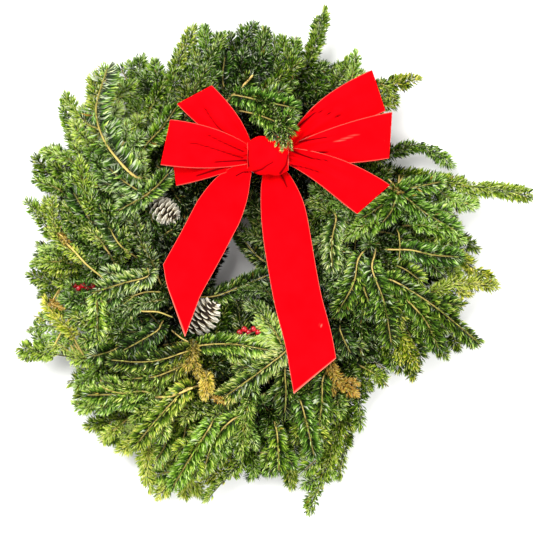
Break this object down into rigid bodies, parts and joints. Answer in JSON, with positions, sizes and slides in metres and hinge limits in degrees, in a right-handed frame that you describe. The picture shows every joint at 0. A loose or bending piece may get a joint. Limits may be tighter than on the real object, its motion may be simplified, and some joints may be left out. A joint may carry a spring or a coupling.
{
  "type": "fresh evergreen wreath",
  "caption": "Round wreath of fresh fir sprays on a wire clamp ring, with a looped velvet ribbon bow, frosted cones and red berries.",
  "frame": {"origin": "on the surface that the wreath lies on, under the middle of its whole width and height", "axes": "+Z out of the wreath's front, +Y towards its top as it hangs, +X towards its right side as seen from the front"},
  "size_m": [0.7262, 0.7136, 0.168],
  "materials": {
    "fir_outer": "fresh bright green needles on tan twigs",
    "fir_front": "fresh dark green needles on tan twigs",
    "fir_inner": "fresh grey-green needles on tan twigs",
    "velvet_ribbon": "deep red velvet",
    "frosted_cone": "matte, frosted white over brown scales",
    "berry": "glossy red",
    "green_wire": "dark green painted steel wire"
  },
  "bodies": {
    "root": {"berry_pick_1": "berry", "berry_pick_2": "berry", "bow_knot": "velvet_ribbon", "bow_loops": "velvet_ribbon", "bow_tail_right": "velvet_ribbon", "bow_tie_wire": "green_wire", "clamp_ring": "green_wire", "cone_wire_1": "green_wire", "cone_wire_2": "green_wire", "fir_spray_front_01": "fir_front", "fir_spray_front_02": "fir_front", "fir_spray_front_03": "fir_front", "fir_spray_front_04": "fir_front", "fir_spray_front_05": "fir_front", "fir_spray_front_06": "fir_front", "fir_spray_front_07": "fir_front", "fir_spray_front_08": "fir_front", "fir_spray_front_09": "fir_front", "fir_spray_front_10": "fir_front", "fir_spray_front_11": "fir_front", "fir_spray_front_12": "fir_front", "fir_spray_front_13": "fir_front", "fir_spray_front_14": "fir_front", "fir_spray_inner_01": "fir_inner", "fir_spray_inner_02": "fir_inner", "fir_spray_inner_03": "fir_inner", "fir_spray_inner_04": "fir_inner", "fir_spray_inner_05": "fir_inner", "fir_spray_inner_06": "fir_inner", "fir_spray_inner_07": "fir_inner", "fir_spray_inner_08": "fir_inner", "fir_spray_outer_01": "fir_outer", "fir_spray_outer_02": "fir_outer", "fir_spray_outer_03": "fir_outer", "fir_spray_outer_04": "fir_outer", "fir_spray_outer_05": "fir_outer", "fir_spray_outer_06": "fir_outer", "fir_spray_outer_07": "fir_outer", "fir_spray_outer_08": "fir_outer", "fir_spray_outer_09": "fir_outer", "fir_spray_outer_10": "fir_outer", "fir_spray_outer_11": "fir_outer", "fir_spray_outer_12": "fir_outer", "fir_spray_outer_13": "fir_outer", "fir_spray_outer_14": "fir_outer", "fir_spray_outer_15": "fir_outer", "fir_spray_outer_16": "fir_outer", "fir_spray_outer_17": "fir_outer", "fir_spray_outer_18": "fir_outer", "fir_spray_outer_19": "fir_outer", "fir_spray_outer_20": "fir_outer", "fir_spray_outer_21": "fir_outer", "fir_spray_outer_22": "fir_outer", "fir_spray_outer_23": "fir_outer", "fir_spray_outer_24": "fir_outer", "fir_spray_outer_25": "fir_outer", "fir_spray_outer_26": "fir_outer", "fir_spray_outer_27": "fir_outer", "frosted_cone_1": "frosted_cone", "frosted_cone_2": "frosted_cone"}
  },
  "joints": []
}
